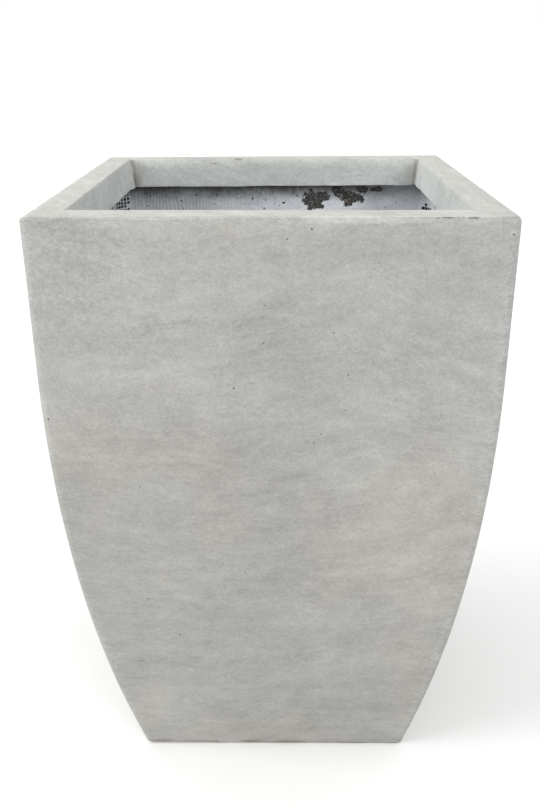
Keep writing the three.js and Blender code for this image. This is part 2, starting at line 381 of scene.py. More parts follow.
def cementMaterial():
    s = Shade("brushed cement")
    x, y, z = s.point.parts()
    along = x + y  # runs along every wall
    face = s.join(along, (x - y) * 0.35, z)
    drift = s.noise(face, 6.0, 2.0, 0.5, "Color").vector("SUBTRACT", (0.5, 0.5, 0.5))
    swept = face.vector("ADD", drift.vector("MULTIPLY", (0.06, 0.06, 0.12)))
    flat = s.noise(swept.vector("MULTIPLY", (17, 17, 120)), 1.0, 4.0, 0.75)
    tilt = swept.vector("ADD", s.join(0.0, 0.0, along * 0.8)).vector("MULTIPLY", (26, 26, 130))
    slanted = s.noise(tilt, 1.0, 4.0, 0.75)
    share = (s.noise(face, 4.0, 1.0) + along * 1.1).ease(0.5, 0.72)  # slanted to the right
    strokes = flat + (slanted - flat) * share
    clouds = s.noise(face.vector("MULTIPLY", (1, 1, 1.7)), 9.0, 6.0, 0.92)
    grain = s.noise(s.point, 620.0, 1.5, 0.8)
    value = 1 + (clouds - 0.5) * cement["cloudContrast"]
    value = value + (strokes - 0.5) * cement["strokeContrast"]
    value = value + (grain - 0.5) * cement["grainContrast"]
    mottle = s.noise(s.point.vector("MULTIPLY", (1, 1, 1.3)), 290.0, 2.0, 0.6).ease(0.36, 0.64)
    speckled = 1 + (z.ease(0.45, 0.58) * x.ease(-0.05, -0.15)) * 0.8  # more at the top left
    value = value + (mottle - 0.5) * speckled * cement["mottleContrast"]
    for across, up, wide, tall, strength in cement["washes"]:
        near = s.join((x - across * mm) * (1 / wide / mm), 0.0, (z - up * mm) * (1 / tall / mm))
        near = near.vector("ADD", drift.vector("MULTIPLY", (1.5, 0.0, 1.5)))
        value = value + near.vector("LENGTH", (0, 0, 0), "Value").ease(1.0, 0.0) * strength
    tinge = s.noise(face, 3.1, 3.0, 0.6) - z.ease(0.30, 0.58) * 0.16
    hue = s.blend(tinge.ease(0.25, 0.65), cement["cool"], cement["warm"])
    hue = s.blend(s.attribute("lip"), hue, cement["lip"])
    hue = s.blend(s.attribute("top"), hue, cement["rim"])
    sideRim = abs(x) > abs(y)  # brushed lengthwise on the side rims, across at the front and back
    brushed = s.noise(s.join(x * (60 + 190 * sideRim), y * (60 - 48 * sideRim), z * 60), 1.0, 4.0, 0.75)
    value = value + (brushed - 0.5) * s.attribute("top") * cement["brushContrast"]
    # painted shade on the rim's top where its front edge rolls over, on the left
    frontEdge = y.ease(-0.1965, -0.2005) * x.ease(0.06, -0.05)
    lift = x.ease(-0.12, -0.19) * cement["leftRimLift"] - frontEdge * cement["frontEdgePaintedShade"]
    value = value + s.attribute("top") * lift
    wear = s.noise(s.point.vector("MULTIPLY", (130, 130, 260)), 1.0, 4.0, 0.75)
    scuffed = s.attribute("edge") * (wear + along * 0.12).ease(0.42, 0.66)
    scuffed = scuffed * (1 - x.ease(-0.15, -0.20) * 0.7)
    hue = s.blend(scuffed * cement["scuffed"], hue, cement["crust"])
    front = y.ease(-0.200, -0.202)
    worn = front * x.ease(0.005, 0.045) * x.ease(0.15, 0.10)
    worn = worn * (z + (wear - 0.5) * 0.006).ease(0.5935, 0.5955)
    hue = s.blend(worn * cement["worn"], hue, cement["crust"])
    # painted light and shade: the back lip is made lighter, and darker along its rounded top
    backLip = s.attribute("lip") * y.ease(0.160, 0.168)
    value = value + backLip * (cement["backLipPaintedLight"] - z.ease(0.584, 0.594) * cement["backLipPaintedTopShade"])
    # grime with painted shade: the back lip darkens towards its corners and towards its foot
    patchy = s.noise(s.point, 45.0, 4.0, 0.7) - 0.5
    corners = (abs(x + 0.002) + patchy * 0.03).ease(0.146, 0.172) * (1 - x.ease(-0.1, 0.1) * 0.65)
    low = (z + patchy * 0.01).ease(0.592, 0.572)
    grimeAndShadeAmount = cement["cornerGrimeAndShade"] + low * cement["lowGrimeAndShade"]
    hue = s.blend(backLip * corners * grimeAndShadeAmount, hue, cement["grimeAndShade"])
    # painted shade along the mouth's upright inner corners
    hue = s.blend(s.attribute("crease") * cement["creasePaintedShade"], hue, cement["grimeAndShade"])
    dirt = s.noise(s.point.vector("MULTIPLY", (28, 28, 160)), 1.0, 3.0).ease(0.42, 0.62)
    hue = s.blend(z.ease(0.011, 0.0) * dirt * cement["footStain"], hue, cement["stain"])
    colour = s.scaled(hue, value)
    shaken = s.noise(s.point, 900.0, 1.0, 0.5, "Color").vector("SUBTRACT", (0.5, 0.5, 0.5))
    spot = s.point.vector("ADD", shaken.vector("MULTIPLY", (0.0012, 0.0012, 0.0012)))  # for ragged edges
    pits = None
    for across, up, radius in cement["pinholes"]:
        place = (across * mm, -float(wallHalf(up * mm)), up * mm)
        hole = spot.vector("DISTANCE", place, "Value").ease(radius * mm, 0.45 * radius * mm)
        pits = hole if pits is None else pits.most(hole)
    for across, deep, up, longer, higher, strength, key in cement["marks"]:
        near = spot.vector("SUBTRACT", (across * mm, deep * mm, up * mm))
        near = near.vector("MULTIPLY", (1 / longer / mm, 0.1 / mm, 1 / higher / mm))
        smudge = (near.vector("LENGTH", (0, 0, 0), "Value") + (wear - 0.5) * 2.2).ease(1.1, 0.5)
        colour = s.blend(smudge * strength, colour, cement[key])
    scattered = s.cells(spot, 150.0).ease(0.13, 0.06) * (s.cells(spot, 150.0, "Color").parts()[0] > 0.985)
    pits = pits.most(scattered * 0.7)
    colour = s.blend(pits * cement["pitted"], colour, cement["pit"])
    relief = strokes * 0.6 + clouds * 1.2 + grain * 0.12 - pits * 1.6
    return s.finish(colour, 0.82 + (clouds - 0.5) * 0.3, relief, cement["reliefDepth"])


# Inside: slurry over glass-fibre mesh.
slurry = {
    "grey": tone(232, 235, 239),
    "dull": tone(197, 201, 205),
    # underLipPaintedShade: painted shade under the lip's overhang, slightly brownish
    "underLipPaintedShade": tone(96, 93, 90),
    # bare: where the coat has flaked off, and painted shade behind the open meshes
    "bare": tone(72, 70, 67),
    "crumb": tone(150, 146, 141),
    "meshPitch": 4.27 * mm,
    "smearContrast": 0.35,
    "cloudContrast": 0.5,
    "grainContrast": 0.45,
    "meshContrast": 0.05,
    # painted shade in the grooves between the mesh ridges
    "groovePaintedShade": 0.30,
    "middleLift": 0.10,  # of the part between the strips
    "reliefDepth": 0.6 * mm,
}


def slurryMaterial():
    s = Shade("slurry coat")
    x, y, z = s.point.parts()
    along = x + y
    weave = 2 * math.pi / slurry["meshPitch"]
    shaken = s.noise(s.point, 60.0, 2.0) * 5.0
    warps = (along * weave + shaken).maths("COSINE")
    wefts = (z * weave + shaken).maths("COSINE")
    shows = s.noise(s.point, 16.0, 2.0).ease(0.45, 0.70)
    mesh = (warps * 0.7 + wefts * 0.3) * shows
    clouds = s.noise(s.point, 14.0, 6.0, 0.8)
    smears = s.noise(s.join(along * 30, (x - y) * 10, z * 150), 1.0, 4.0, 0.75)
    grain = s.noise(s.point, 700.0, 2.0, 0.7)
    share = (clouds - 0.5) * 1.2 + x.ease(-0.13, 0.0) * 0.9 - x.ease(0.08, 0.14) * 0.5
    hue = s.blend(share, slurry["dull"], slurry["grey"])
    # painted shade under the lip's overhang: a dark band on the inner walls, fading downwards and weaker on
    # the right
    uneven = z + (s.noise(s.point, 90.0, 4.0, 0.75) - 0.5) * 0.024
    underLipShade = uneven.ease(lipBottom - 27 * mm, lipBottom - 1 * mm)
    underLipShade = underLipShade * (0.95 - x.ease(0.10, 0.17) * 0.5)
    hue = s.blend(underLipShade, hue, slurry["underLipPaintedShade"])
    value = 1 + (smears - 0.5) * slurry["smearContrast"] + (clouds - 0.5) * slurry["cloudContrast"]
    value = value + (grain - 0.5) * slurry["grainContrast"] + mesh * slurry["meshContrast"]
    # painted shade in the grooves between the mesh ridges
    value = value - s.attribute("shadedGroove") * slurry["groovePaintedShade"]
    value = value + (x.ease(-0.02, 0.03) - x.ease(0.08, 0.13)) * slurry["middleLift"]
    colour = s.scaled(hue, value)
    # bare patches: flaked coat, and painted shade behind the open meshes
    frayed = s.attribute("bare") + (s.noise(s.point, 420.0, 3.0, 0.7) - 0.5) * 1.1
    bare = frayed.ease(0.42, 0.58)
    crumbs = s.noise(s.point, 520.0, 2.0, 0.6).ease(0.50, 0.68)
    colour = s.blend(bare, colour, s.blend(crumbs, slurry["bare"], slurry["crumb"]))
    relief = smears * 0.4 + grain * 0.3 + mesh * 0.25 + crumbs * bare * 0.8 - bare
    return s.finish(colour, 0.9, relief, slurry["reliefDepth"])


glassMesh = {"dull": tone(212, 216, 220), "pale": tone(240, 242, 244)}


def strandMaterial():
    s = Shade("slurried glass mesh")
    clouds = s.noise(s.point, 30.0, 3.0)
    grain = s.noise(s.point, 900.0, 2.0, 0.7)
    hue = s.blend(clouds.ease(0.3, 0.7), glassMesh["dull"], glassMesh["pale"])
    colour = s.scaled(hue, 1 + (grain - 0.5) * 0.3)
    return s.finish(colour, 0.8, grain, 0.0003)


# The bars that fill the rim.
filler = {
    "dull": tone(128, 126, 120),
    "pale": tone(166, 164, 159),
    "footCut": 0.6 * mm,  # off the lower inner edge
    "edgeShare": 0.6,  # off the upper inner edge, as a share of the skin's rounding there
    "cornerCut": 3.1 * mm,  # depth of the part whose ends stop short of the outer corners
}


def fillerMaterial():
    s = Shade("rim filler")
    lumps = s.noise(s.point, 90.0, 4.0, 0.65)
    colour = s.blend(lumps.ease(0.3, 0.7), filler["dull"], filler["pale"])
    return s.finish(colour, 0.95, lumps, 0.0015)


rubber = {"black": tone(30, 30, 31), "bloom": tone(66, 66, 66)}


def rubberMaterial():
    s = Shade("black rubber")
    bloom = s.noise(s.point, 160.0, 4.0, 0.6)
    colour = s.blend(bloom.ease(0.4, 0.75), rubber["black"], rubber["bloom"])
    return s.finish(colour, 0.62 + bloom * 0.2, bloom, 0.0002)


facingFinish = cementMaterial()
slurryFinish = slurryMaterial()
meshFinish = strandMaterial()
fillerFinish = fillerMaterial()
rubberFinish = rubberMaterial()
print("materials made")


def dress(piece, finish, body, slotName, *nodes):
    piece.data.materials.clear()
    piece.data.materials.append(finish)
    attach(piece, body)
    if nodes:
        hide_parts(*nodes)
    return piece


# Facing skin: one closed profile carried round the square. By side, from the right one:
# the outer top edge's radius, how far the mouth's edge stands in from its place, how far the
# lip leans in at its foot, how wide and deep its rounded top edge is, the radius of its foot
# and how much lower that is.
skin = {
    "flatSteps": 92,  # along each side
    "cornerSteps": 8,
    "wallStep": 4.2 * mm,
    "waveDepth": 0.25 * mm,  # of the slow unevenness of the walls
    "dentDepth": 0.5 * mm,  # along the arris
    "lipWave": 0.22 * mm,  # of the hand-finished lower edge
    "topEdge": [6.6 * mm, 3.6 * mm, 4 * mm, 1.6 * mm],
    "inset": [0.5 * mm, -0.8 * mm, 0.3 * mm, 4 * mm],
    "slant": 0.03,  # of the front mouth's edge, which stands further in on the left
    "lean": [2.2 * mm, 0.8 * mm, 3.2 * mm, 0],
    "topWide": [3.5 * mm, 10 * mm, 1.5 * mm, 1.5 * mm],
    "topDeep": [4.5 * mm, 12 * mm, 2 * mm, 2 * mm],
    "footRadius": [1.8 * mm, 1.1 * mm, 1.8 * mm, 1.8 * mm],
    "footDrop": [0.6 * mm, 0.5 * mm, 0.8 * mm, 0],
    "lipCorners": [1.4 * mm, 0.8 * mm, 2 * mm, 2 * mm],  # radii of the mouth's upright corners
    # swellings of the lip: place, radius and push
    "swellings": [
        ((-171 * mm, 166 * mm, 571 * mm), 12 * mm, (3.4 * mm, -0.4 * mm, -0.6 * mm)),
        ((-171 * mm, 172 * mm, 588 * mm), 14 * mm, (3.4 * mm, 0, 0)),
        ((171 * mm, 170 * mm, 569 * mm), 9 * mm, (-0.4 * mm, 0, 1.6 * mm)),
    ],
}


def facingSkin():
    ring = squareRing(skin["flatSteps"], skin["cornerSteps"])
    nearness, sides, normals = ring
    corner, facing, topRadius = form["cornerRadius"], form["facing"], np.array(skin["topEdge"])
    footInner, footRadius = form["baseHalf"] - form["footWidth"], form["footRadius"]
    mouth = mouthHalf - np.array(skin["inset"])
    wide, deep, foot = (np.array(skin[key]) for key in ("topWide", "topDeep", "footRadius"))
    lipEnd = lipBottom - np.array(skin["footDrop"])
    lipCorner = np.array(skin["lipCorners"])
    cornerWide = np.minimum(wide, np.roll(wide, -1))
    rows = []  # half width, corner radius, height, then the surface's direction across and up

    def add(half, radius, z, across, up):
        rows.append([np.broadcast_to(v, 4) for v in (half, radius, z, across, up)])

    def leaning(z):
        return mouth - np.array(skin["lean"]) * (height - z) / form["lipDepth"]

    for t in np.linspace(0, 1, 5)[:-1]:
        add(footInner - facing * (1 - t), corner, form["footRecess"] * (1 - t), -1, 0)
    for t in np.linspace(0, 1, 7)[:-1]:
        reach = t * (form["footWidth"] - footRadius)
        add(footInner + reach, corner - footRadius * t, 0, 0, -1)
    for a in np.radians(np.linspace(-90, 0, 6)):
        c, u = math.cos(a), math.sin(a)
        z = footRadius * (1 + u)
        add(wallHalf(z) - footRadius * (1 - c), corner - footRadius * (1 - c), z, c, u)
    for z in np.arange(footRadius + skin["wallStep"], height - topRadius.max() - 1 * mm, skin["wallStep"]):
        add(wallHalf(z), corner, z, 1, 0)
    for a in np.radians(np.linspace(0, 90, 8)):
        c, u = math.cos(a), math.sin(a)
        add(topHalf - topRadius * (1 - c), corner - topRadius * (1 - c), height - topRadius * (1 - u), c, u)
    for t in np.linspace(0, 1, 9)[1:-1]:
        reach = (1 - t) * (topHalf - topRadius) + t * (mouth + wide)
        add(reach, (1 - t) * (corner - topRadius) + t * (lipCorner + cornerWide), height, 0, 1)
    for a in np.radians(np.linspace(90, 180, 11)):
        c, u = math.cos(a), math.sin(a)
        z = height - deep * (1 - u)
        size = np.hypot(c / wide, u / deep)
        across, up = c / wide / size, u / deep / size
        add(leaning(z) + wide * (1 + c), lipCorner + cornerWide * (1 + c), z, across, up)
    for t in np.linspace(0, 1, 8)[1:-1]:
        z = (1 - t) * (height - deep) + t * (lipEnd + foot)
        add(leaning(z), lipCorner, z, -1, 0)
    for a in np.radians(np.linspace(180, 270, 7)):
        c, u = math.cos(a), math.sin(a)
        z = lipEnd + foot * (1 + u)
        add(leaning(z) + foot * (1 + c), lipCorner + foot * (1 + c), z, c, u)
    end, inside = form["lipReturn"], np.maximum(foot, facing)
    add(mouthHalf + end, lipCorner + end, lipEnd, 0, -1)
    add(mouthHalf + end, lipCorner + end, lipBottom + facing, 0, 0)
    add(mouthHalf + inside, lipCorner + inside, lipBottom + facing, 0, 0)
    cut = filler["edgeShare"] * wide
    add(mouthHalf + inside, lipCorner + inside, height - facing - cut, 0, 0)
    add(mouthHalf + inside + cut, lipCorner + inside + cut, height - facing, 0, 0)
    add(topHalf - facing, corner - facing, height - facing, 0, 0)
    for z in np.linspace(height - 2 * facing, floorSkinTop, 22):
        add(wallHalf(z) - facing, corner - facing, z, 0, 0)
    half, radius, z, across, up = np.array(rows, float).transpose(1, 0, 2)
    points = ringPoints(half, radius, z, ring)
    level, across, up = z @ sides.T, across @ sides.T, up @ sides.T
    way = np.concatenate([across[..., None] * normals, up[..., None]], -1)
    onLip = ease(half @ sides.T, mouthHalf + 14 * mm, mouthHalf + 8 * mm) * (level > lipBottom - 5 * mm)
    onLip = onLip * ((across != 0) | (up != 0))
    slow = ripple(points, 150 * mm, 3) + 0.5 * ripple(points, 60 * mm, 4)
    quick = ripple(points, 22 * mm, 5)
    depth = skin["waveDepth"] * (slow - 1.6 + 0.2 * quick)
    depth = np.minimum(depth, 0) * ease(level, 0, 12 * mm) * (1 - 0.75 * ease(up, 0.2, 0.8))
    depth = depth * (1 - 0.8 * ease(nearness.max(1), 0.88, 1))  # straighter at the upright edges
    dents = np.maximum(ripple(points, 26 * mm, 6) - 1.3, 0) * skin["dentDepth"]
    dents = dents * (level > height - 5 * mm) * (across > 0)
    points = points + way * (depth - dents)[..., None]
    sag = skin["lipWave"] * (0.7 * ripple(points, 70 * mm, 7) + 0.35 * ripple(points, 24 * mm, 8))
    points[..., 2] += sag * ease(level, lipBottom + 12 * mm, lipBottom + 3 * mm) * onLip
    for place, size, push in skin["swellings"]:
        share = np.exp(-(((points - place) / size) ** 2).sum(-1) * 2) * onLip
        points = points + share[..., None] * np.array(push)
    points[..., 1] -= skin["slant"] * points[..., 0] * onLip * sides[:, 3]
    points[..., 2] = np.minimum(points[..., 2], height)
    drain = []
    recess = form["footRecess"]
    for rim, z, share in [(-1, floorSkinTop, 0.5), (-1, floorSkinTop, 0), (0, recess, 0), (0, recess, 0.5)]:
        flat = points[rim, :, :2]
        circle = flat / np.linalg.norm(flat, axis=1, keepdims=True) * form["drainRadius"]
        drain.append(np.concatenate([circle + share * (flat - circle), np.full((len(flat), 1), z)], 1))
    none = np.zeros((len(drain), points.shape[1]))
    top = np.concatenate([ease(up, 0.65, 1) * (level > height - 6 * mm), none])
    arris = ease(nearness.max(1), 0.978, 1) * (across > 0.9)
    rolled = ease(up, 0.05, 0.4) * ease(up, 1, 0.8) * (level > height - 6 * mm) * (across > 0)
    arris = np.maximum(arris, rolled)
    band = ease(level, height - 11 * mm, height - 5 * mm) * (across > 0.5)
    edge = np.concatenate([np.maximum(arris, band), none])
    lip = np.concatenate([onLip * (level < height - 1 * mm), none])
    # crease: the mouth's upright inner corners, darkened there as painted shade
    crease = np.concatenate([onLip * (nearness[:, :2].max(1) > 0.9999) * (level < height - 2 * mm), none])
    tags = {"top": top, "edge": edge, "lip": lip, "crease": crease}
    piece = ringSolid("facing_skin", np.concatenate([points, np.stack(drain)]), tags)
    return dress(piece, facingFinish, "planter", "facing", "outer_shell")


# Wall sheets, from the front round to the left: a grid across and up, rough on the inside.
wallSheets = {
    "sides": ["front", "right", "back", "left"],
    "columns": {"back": 340},
    "plainColumns": 150,
    "rowStep": 5 * mm,
    "fineRowStep": 1.2 * mm,  # in the band of the back wall that shows under the rim
    "fineBand": 48 * mm,
    "roughness": 0.22 * mm,
    "ridge": 0.13 * mm,  # of the weave under the coat
    "deepest": 1.2 * mm,
    "flakeDepth": 0.6 * mm,
    # where the coat has flaked off the back wall: across, up and half sizes in millimetres
    "flaked": [
        (45, 547, 9, 12), (58, 551, 11, 7), (50, 540, 12, 4), (80, 558, 8, 8), (92, 551, 13, 7),
        (104, 549, 9, 5), (110, 560, 7, 5), (92, 543, 6, 5), (127, 560, 9, 3),
        (28, 553, 2, 1.6), (12, 544, 2, 1.5),
    ],
}


def wallSheet(side, quarters):
    columns = wallSheets["columns"].get(side, wallSheets["plainColumns"])
    fine = side == "back"
    band = wallTop - wallSheets["fineBand"]
    coarse = np.arange(wallBottom, band if fine else wallTop, wallSheets["rowStep"])
    close = np.arange(band, wallTop, wallSheets["fineRowStep"]) if fine else []
    z = np.unique(np.concatenate([coarse[coarse < wallTop - 1 * mm], close, [wallTop]]))[:, None]
    t = np.linspace(-1, 1, columns + 1)[None]
    outerHalf, innerHalf = wallHalf(z) - sheetOuter, wallHalf(z) - sheetInner
    cut, mitre = form["cornerRadius"] - form["facing"], form["gap"]
    level = z + 0 * t
    outer = turned(np.stack([t * (outerHalf - cut), -outerHalf + 0 * t, level], -1), quarters)
    inner = turned(np.stack([t * (innerHalf - mitre), -innerHalf + 0 * t, level], -1), quarters)
    outwards = turned(np.array([[[0.0, -1.0, 0.0]]]), quarters)
    bare = np.zeros_like(level)
    if fine:
        for across, up, wide, tall in wallSheets["flaked"]:
            d = ((inner[..., 0] / mm - across) / wide) ** 2 + ((inner[..., 2] / mm - up) / tall) ** 2
            bare = np.maximum(bare, 1.2 - 0.75 * d)
        bare = np.clip(bare + 0.16 * ripple(inner, 9 * mm, 15) + 0.16 * ripple(inner, 4.5 * mm, 16), 0, 1)
    lumps = ripple(inner, 40 * mm, 11) + 0.6 * ripple(inner, 14 * mm, 12)
    along = inner[..., 0] + inner[..., 1] + 1.2 * mm * ripple(inner, 50 * mm, 13)
    warps = np.cos(2 * np.pi * along / slurry["meshPitch"])
    showing = ease(ripple(inner, 120 * mm, 14) - 6 * inner[..., 0], 0.2, 1.4)
    depth = wallSheets["roughness"] * (1.6 + lumps) + wallSheets["ridge"] * (1 + warps) * showing
    depth = np.clip(depth, 0, wallSheets["deepest"]) + wallSheets["flakeDepth"] * ease(bare, 0.3, 0.8)
    fromCorner = (1 - abs(t)) * innerHalf
    depth = depth * ease(fromCorner, 28 * mm, 44 * mm)  # flush under the corner strips
    inner = inner + outwards * depth[..., None]
    shadedBehindMeshes = ease(fromCorner, 30 * mm, 24 * mm) * ease(level, wallTop - 70 * mm, wallTop - 60 * mm)
    if side != "front":
        bare = np.maximum(bare, shadedBehindMeshes)  # painted shade seen through the open meshes: the wall behind them takes the dark bare colour
    # painted shade in the grooves between the warps, on the left of the back wall
    shadedGroove = showing * (0.5 - 0.5 * warps) * ease(inner[..., 0], -60 * mm, -100 * mm) * fine
    piece = sheetSolid(side + "_wall_sheet", outer, inner, None, {"bare": bare, "shadedGroove": shadedGroove})
    return dress(piece, slurryFinish, "planter", "laminate", side + "_wall_laminate")


# Floor sheet: from the drain circle out to the walls, with a rough top.
floorSheet = {"rings": 60, "flatSteps": 60, "cornerSteps": 4, "roughness": 0.3 * mm}


def floorPiece():
    ring = squareRing(floorSheet["flatSteps"], floorSheet["cornerSteps"])
    layers = []
    outwards = np.linspace(0, 1, floorSheet["rings"])
    for z, shares in [(floorTop, outwards), (floorSkinTop + form["gap"], [1, 0])]:
        half = np.full((1, 4), float(wallHalf(z)) - sheetOuter)
        radius = np.full((1, 4), form["cornerRadius"] - form["facing"])
        rim = ringPoints(half, radius, np.full((1, 4), z), ring)[0]
        circle = rim[:, :2] / np.linalg.norm(rim[:, :2], axis=1, keepdims=True) * form["drainRadius"]
        for share in shares:
            layers.append(np.concatenate([circle + share * (rim[:, :2] - circle), rim[:, 2:]], 1))
    points = np.stack(layers)
    worn = floorSheet["roughness"] * (1.6 + ripple(points, 45 * mm, 21) + 0.6 * ripple(points, 16 * mm, 22))
    clear = ease(np.linalg.norm(points[..., :2], axis=-1), 20 * mm, 30 * mm)  # level under the plug's flange
    points[..., 2] -= np.maximum(worn, 0) * clear * (points[..., 2] > floorTop - 1 * mm)
    piece = ringSolid("floor_sheet", points)
    return dress(piece, slurryFinish, "planter", "laminate", "floor_laminate")


# Mesh strips round the inner corners, with open meshes at the back.
strip = {
    "fillet": 20 * mm,
    "leg": 15 * mm,
    "thickness": 1 * mm,
    "pitch": 4.4 * mm,
    "arcMeshes": 7,
    "strand": 1.5 * mm,
    "strandThick": 0.36 * mm,  # half of the strands' oval section, and its other half width
    "warpWide": 0.48 * mm,
    "weftWide": 0.50 * mm,
    "weave": 0.10 * mm,  # how far they pass over and under each other
    "netBand": 100 * mm,  # height of the band in which the strands stand clear of the coat
    "corners": ["back_right", "back_left", "front_left", "front_right"],
    # where meshes are open: their first and one past their last column, one past their lowest
    # row, the share of them that is clogged, and the warps that show
    "open": {"back_right": (2, 7, 9, 0.4, slice(5, 11)), "back_left": (0, 6, 9, 0.12, slice(3, 10))},
}


# A point of the strip's section: a leg, a quarter circle and a leg, as offsets from the
# corner, with the direction out of the hollow there.
def stripSection(s, depth):
    turn = np.clip((s - strip["leg"]) / strip["fillet"], 0, np.pi / 2)
    past = np.maximum(s - strip["leg"] - strip["fillet"] * np.pi / 2, 0)
    before = np.minimum(s - strip["leg"], 0)
    out = np.stack([np.sin(turn), np.cos(turn)], -1)
    radius = strip["fillet"] - depth
    place = radius[..., None] * out - strip["fillet"]
    place[..., 0] += before
    place[..., 1] -= past
    return place, out


# Points at places along that section, heights and depths, and the ways out of the hollow.
def stripPoints(s, z, depth, quarters):
    place, out = stripSection(s, depth)
    reach = (wallHalf(z) - stripOuter)[..., None]
    points = np.concatenate([place + reach, z[..., None]], -1)
    ways = np.concatenate([out, np.zeros((*z.shape, 1))], -1)
    return turned(points, quarters), turned(ways, quarters)


# The coat is a sheet round the section with holes between its strands. The strands are
# oval, and swing in and out of the sheet's middle as a cosine of the place along them.
def cornerStrip(corner, quarters):
    length = 2 * strip["leg"] + strip["fillet"] * np.pi / 2
    step = (strip["fillet"] * np.pi / 2 - strip["strand"]) / strip["arcMeshes"]
    warps = strip["leg"] + strip["strand"] / 2 + step * np.arange(-3, strip["arcMeshes"] + 4)
    columns = np.sort(np.concatenate([warps, warps[:-1] + step / 2, [0, length]]))
    wefts = np.arange(wallTop - strip["strand"] / 2, wallBottom + 4 * mm, -strip["pitch"])[::-1]
    rows = np.sort(np.concatenate([wefts, wefts[1:] - strip["pitch"] / 2, [wallBottom, wallTop]]))
    s, z = np.meshgrid(columns, rows)
    netted = corner in strip["open"]
    onWarp = np.isin(columns, warps)[None]
    onWeft = np.isin(rows, wefts)[:, None]
    band = ease(z, wallTop - 60 * mm, wallTop - 40 * mm) * netted
    lumps = ripple(stripPoints(s, z, 0 * s, quarters)[0], 30 * mm, 31 + quarters)
    depthIn = strip["thickness"] * (0.90 + 0.08 * (onWarp | onWeft) - 0.25 * band) + 0.03 * mm * lumps
    depthOut = strip["thickness"] * 0.35 * band - 0.25 * mm
    depthIn = np.minimum(depthIn, strip["thickness"])
    outer = stripPoints(s, z, depthOut, quarters)[0]
    inner = stripPoints(s, z, depthIn, quarters)[0]
    keep = np.ones((len(rows) - 1, len(columns) - 1), bool)
    if netted:
        first, last, lowest, share, shown = strip["open"][corner]
        rng = np.random.default_rng(40 + quarters)
        across, up = (s[1:, 1:] + s[:-1, :-1]) / 2, (z[1:, 1:] + z[:-1, :-1]) / 2
        meshColumn = np.floor((across - warps[3]) / step).astype(int)
        meshRow = np.floor((wefts[-1] - up) / strip["pitch"]).astype(int)
        clogged = rng.random((20, 8)) < np.where(np.arange(8) == 5, 0.4, share)
        inside = (meshColumn >= first) & (meshColumn < last) & (meshRow >= 1) & (meshRow < lowest)
        keep = ~(inside & ~clogged[np.clip(meshRow, 0, 19), np.clip(meshColumn, 0, 7)])
    onLeg = ease(s, length - strip["leg"] - 12 * mm, length - strip["leg"])
    # painted shade between the warps on one leg of the back left strip
    shadedGroove = 0.9 * ~onWarp * onLeg * (corner == "back_left")
    film = sheetSolid(corner + "_mesh_coat", outer, inner, keep, {"bare": 0 * s, "shadedGroove": shadedGroove})
    dress(film, slurryFinish, "planter", "glass_mesh", corner + "_corner_mesh")
    if not netted:
        return
    upper = wefts[wefts > wallTop - strip["netBand"]]
    climb = np.linspace(upper[0], wallTop - 0.4 * mm, 150)
    z, s = np.meshgrid(climb, warps[shown])
    phase = np.pi * np.arange(len(s))[:, None]
    weave = strip["weave"] * np.cos(np.pi * (z - wefts[-1]) / strip["pitch"] + phase)
    paths, ways = stripPoints(s, z, strip["thickness"] / 2 + weave, quarters)
    paths = paths + 0.15 * mm * ripple(paths, 18 * mm, 50)[..., None] * np.array([0.5, 0.5, 0])
    girth = 1 + 0.18 * ripple(paths, 7 * mm, 51)
    thick = strip["strandThick"]
    warpPoints, warpFaces = strands(paths, ways, thick + 0 * s, strip["warpWide"] * girth)
    run = np.linspace(warps[shown][0] - 1 * mm, warps[shown][-1] + 1 * mm, 70)
    s, z = np.meshgrid(run, upper)
    phase = np.pi * np.arange(len(upper))[:, None]
    weave = -strip["weave"] * np.cos(np.pi * (s - warps[0]) / step + phase)
    paths, ways = stripPoints(s, z, strip["thickness"] / 2 + weave, quarters)
    paths[..., 2] += 0.25 * mm * ripple(paths, 22 * mm, 52)
    girth = 1 + 0.18 * ripple(paths, 7 * mm, 53)
    weftPoints, weftFaces = strands(paths, ways, thick + 0 * s, strip["weftWide"] * girth)
    weftFaces = [f + len(warpPoints) for f in weftFaces]
    net = solid(corner + "_mesh_strands", np.concatenate([warpPoints, weftPoints]), warpFaces + weftFaces)
    dress(net, meshFinish, "planter", "glass_mesh")


# Drain plug: a profile turned about the planter's axis.
plug = {
    "bodyRadius": 12.2 * mm,
    "flangeRadius": 19 * mm,
    "flangeHeight": 3 * mm,
    "knobRadius": 5 * mm,
    "knobHeight": 5 * mm,
    "steps": 96,
}


